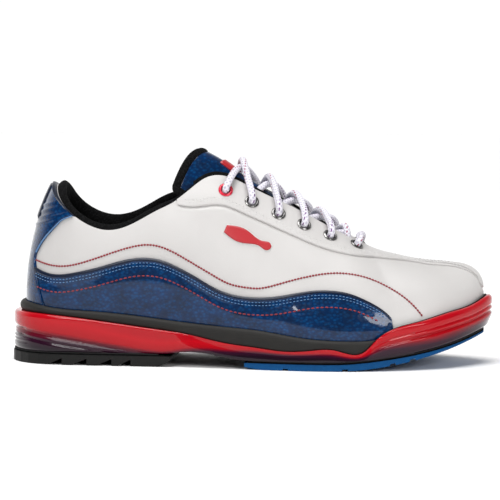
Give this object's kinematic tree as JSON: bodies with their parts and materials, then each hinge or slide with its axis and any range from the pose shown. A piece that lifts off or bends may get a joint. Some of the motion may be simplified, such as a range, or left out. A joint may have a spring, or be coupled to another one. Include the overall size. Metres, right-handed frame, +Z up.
{
  "type": "bowling shoe",
  "caption": "Lace-up bowling shoe for the right foot with layered leather upper, padded tongue and collar, cupped outsole, and a slide sole and heel held on by hook-and-loop patches.",
  "frame": {"origin": "centre of the bounding box in plan, on the floor the shoe stands on", "axes": "+X from heel to toe, +Y towards the inner side of the foot, +Z up"},
  "size_m": [0.3049, 0.1089, 0.1345],
  "materials": {
    "white_leather": "fine grain, semi-gloss",
    "blue_patent": "glossy, scale embossed",
    "black_textile": "brushed mesh",
    "black_foam": "moulded foam, matt",
    "red_tpu": "glossy, slightly clear",
    "blue_slide_pad": "microfibre",
    "black_rubber": "matt",
    "hook_tape": "hooks",
    "fibre_board": "pressed fibre",
    "spring_steel": "bare",
    "cork": "bonded grains",
    "sock_liner": "foam with fabric top",
    "grey_padding": "open-cell foam",
    "gunmetal_nickel": "polished",
    "red_eyelet": "gloss",
    "white_lace": "round braid with coloured flecks",
    "clear_aglet": "clear",
    "red_trim": "raised, satin"
  },
  "bodies": {
    "shoe": {"aglet_inner": "clear_aglet", "aglet_outer": "clear_aglet", "collar_padding": "black_textile", "cork_filler": "cork", "eva_midsole": "black_foam", "eyelet_inner_1": "red_eyelet", "eyelet_inner_2": "gunmetal_nickel", "eyelet_inner_3": "gunmetal_nickel", "eyelet_inner_4": "gunmetal_nickel", "eyelet_inner_5": "gunmetal_nickel", "eyelet_inner_6": "gunmetal_nickel", "eyelet_outer_1": "red_eyelet", "eyelet_outer_2": "gunmetal_nickel", "eyelet_outer_3": "gunmetal_nickel", "eyelet_outer_4": "gunmetal_nickel", "eyelet_outer_5": "gunmetal_nickel", "eyelet_outer_6": "gunmetal_nickel", "heel_counter": "fibre_board", "heel_hook_patch": "hook_tape", "heel_overlay": "blue_patent", "heel_tab": "blue_patent", "insole_board": "fibre_board", "lace": "white_lace", "lining": "black_textile", "mudguard_inner": "blue_patent", "mudguard_outer": "blue_patent", "shank": "spring_steel", "side_emblem": "red_trim", "sock_liner": "sock_liner", "sole_hook_patch": "hook_tape", "toe_puff": "fibre_board", "tpu_outsole": "red_tpu", "upper_wall": "white_leather", "vamp_with_eyestays": "white_leather"},
    "tongue": {"tongue_shell": "blue_patent", "tongue_padding": "grey_padding", "tongue_lining": "black_textile", "tongue_label": "red_trim"},
    "slide_sole": {"slide_pad": "blue_slide_pad", "slide_pad_loop_backing": "black_textile"},
    "heel": {"heel_pad": "black_rubber", "heel_pad_loop_backing": "black_textile"}
  },
  "joints": [
    {"name": "tongue_fold", "type": "hinge", "parent": "shoe", "child": "tongue", "pos_m": [0.0785, 0.001, 0.06696], "axis": [0, -1, 0], "range_deg": [0, 8], "stiffness_Nm_per_rad": 0.3},
    {"name": "slide_sole_peel", "type": "slide", "parent": "shoe", "child": "slide_sole", "axis": [0, 0, -1], "range_m": [0, 0.03]},
    {"name": "heel_peel", "type": "slide", "parent": "shoe", "child": "heel", "axis": [0, 0, -1], "range_m": [0, 0.03]}
  ]
}
